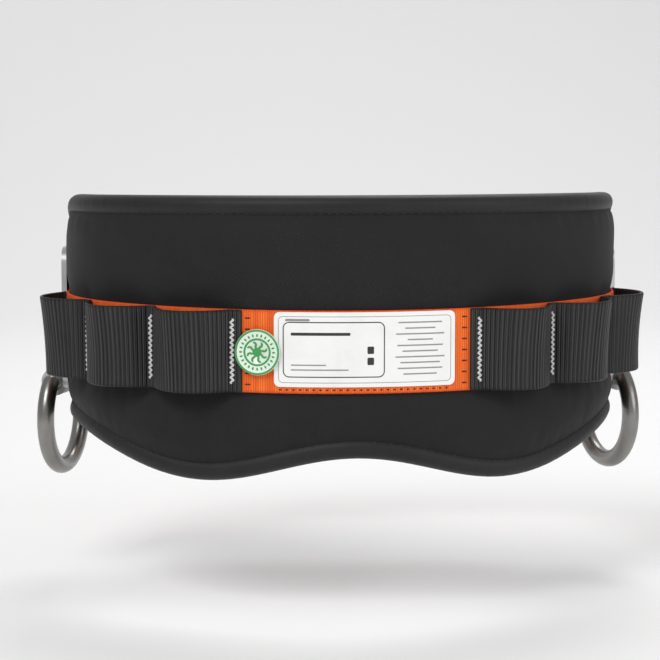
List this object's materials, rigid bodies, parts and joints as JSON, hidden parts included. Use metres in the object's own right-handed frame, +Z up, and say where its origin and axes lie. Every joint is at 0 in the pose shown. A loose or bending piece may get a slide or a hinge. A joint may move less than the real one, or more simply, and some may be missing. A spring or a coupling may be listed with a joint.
{
  "type": "climbing harness",
  "caption": "Padded waist belt for work positioning, with side D-rings, tool loops and a friction buckle.",
  "frame": {"origin": "the middle of the wearer's waist, on the middle line of the webbing's height and of the belt's width, level with the centres of the side bends", "axes": "+Z up along the wearer's body, +Y towards the wearer's front where the buckle is, +X across the belt so that the back is seen with +X to the right"},
  "size_m": [0.3554, 0.219, 0.1733],
  "materials": {
    "foam": "closed-cell foam",
    "pad_fabric": "black laminated stretch fabric, matte",
    "pad_lining": "black spacer mesh",
    "binding_tape": "black knitted binding tape",
    "orange_webbing": "bright orange woven polyester",
    "dark_thread": "dark bonded thread",
    "label_vinyl": "white coated label, blank print frame",
    "badge_green": "pale green moulded badge",
    "black_webbing": "black ribbed woven polyester",
    "white_thread": "white bonded thread, zigzag",
    "steel_plate": "satin zinc-plated steel",
    "steel_ring": "polished forged steel",
    "elastic": "black woven elastic"
  },
  "bodies": {
    "belt": {"pad_foam": "foam", "pad_cover": "pad_fabric", "pad_lining": "pad_lining", "pad_binding": "binding_tape", "belt_webbing": "orange_webbing", "belt_stitching": "dark_thread", "label": "label_vinyl", "round_badge": "badge_green", "tool_loops_left": "black_webbing", "tool_loops_right": "black_webbing", "loop_bartacks_left": "white_thread", "loop_bartacks_right": "white_thread", "side_plate_left": "steel_plate", "side_plate_right": "steel_plate", "buckle_frame": "steel_plate", "tail_fold": "orange_webbing", "lap_bartacks": "dark_thread"},
    "left_ring": {"d_ring_left": "steel_ring"},
    "right_ring": {"d_ring_right": "steel_ring"},
    "friction_bar": {"buckle_bar": "steel_ring"},
    "near_keeper": {"keeper_near": "elastic"},
    "far_keeper": {"keeper_far": "elastic"}
  },
  "joints": [
    {"name": "left_ring_hinge", "type": "hinge", "parent": "belt", "child": "left_ring", "pos_m": [-0.16316, 0.03146, -0.03308], "axis": [0.3169, 0.9484, 0], "range_deg": [-4, 110]},
    {"name": "right_ring_hinge", "type": "hinge", "parent": "belt", "child": "right_ring", "pos_m": [0.16316, 0.03146, -0.03308], "axis": [0.3169, -0.9484, 0], "range_deg": [-4, 110]},
    {"name": "friction_bar_slide", "type": "slide", "parent": "belt", "child": "friction_bar", "axis": [1, 0, 0], "range_m": [-0.005, 0]},
    {"name": "near_keeper_slide", "type": "slide", "parent": "belt", "child": "near_keeper", "axis": [1, 0, 0], "range_m": [-0.002, 0.004]},
    {"name": "far_keeper_slide", "type": "slide", "parent": "belt", "child": "far_keeper", "axis": [1, 0, 0], "range_m": [-0.005, 0.002]}
  ]
}
